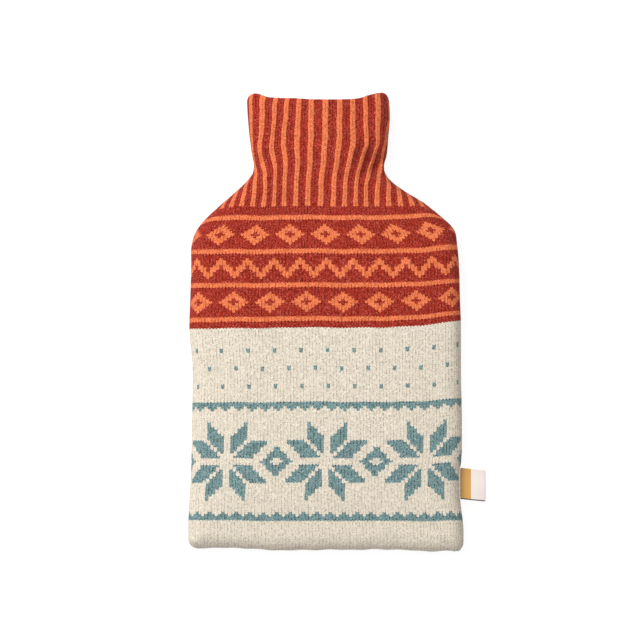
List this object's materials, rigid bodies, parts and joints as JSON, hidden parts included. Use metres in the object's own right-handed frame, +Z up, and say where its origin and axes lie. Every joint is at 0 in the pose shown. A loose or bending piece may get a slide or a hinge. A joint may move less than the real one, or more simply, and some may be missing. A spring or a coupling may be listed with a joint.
{
  "type": "hot water bottle cover",
  "caption": "Knitted pouch that fits over a hot water bottle, with a ribbed neck open at the top and a folded label in the side seam.",
  "frame": {"origin": "middle of the back's flat face, on the surface that the cover lies on, halfway between the hem and the tip of the neck", "axes": "+Z up from the back to the front, +Y from the hem to the neck, +X to the side with the label"},
  "size_m": [0.2335, 0.3596, 0.036],
  "materials": {
    "front_knit": "felted two-colour wool knit, matt",
    "back_knit": "felted wool knit, matt",
    "label_ribbon": "woven ribbon, slight sheen"
  },
  "bodies": {
    "root": {"front_panel": "front_knit", "back_panel": "back_knit", "side_label": "label_ribbon"}
  },
  "joints": []
}
